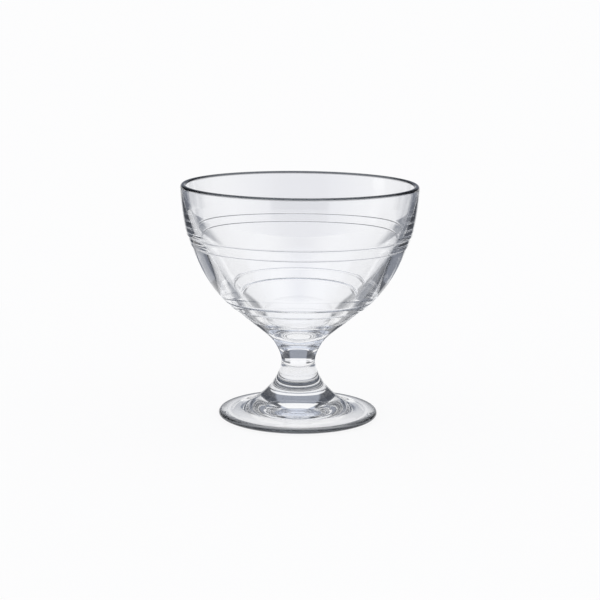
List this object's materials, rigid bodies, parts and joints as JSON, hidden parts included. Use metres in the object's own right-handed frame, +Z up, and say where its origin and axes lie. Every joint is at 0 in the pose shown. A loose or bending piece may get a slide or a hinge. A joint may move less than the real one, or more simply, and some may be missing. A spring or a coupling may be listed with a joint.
{
  "type": "stemmed dessert cup",
  "caption": "Clear glass dessert cup with a thick-walled round bowl, stepped rings round the outside, a short waisted stem and a flared foot.",
  "frame": {"origin": "centre of the cup's footprint, on the table that it stands on", "axes": "+Z up along the cup's axis; the cup is round, so X and Y are any two level directions"},
  "size_m": [0.1034, 0.1034, 0.103],
  "materials": {
    "bowl_glass": "fire-polished clear glass",
    "stem_glass": "fire-polished clear glass",
    "foot_glass": "fire-polished clear glass"
  },
  "bodies": {
    "root": {"bowl": "bowl_glass", "stem": "stem_glass", "foot": "foot_glass"}
  },
  "joints": []
}
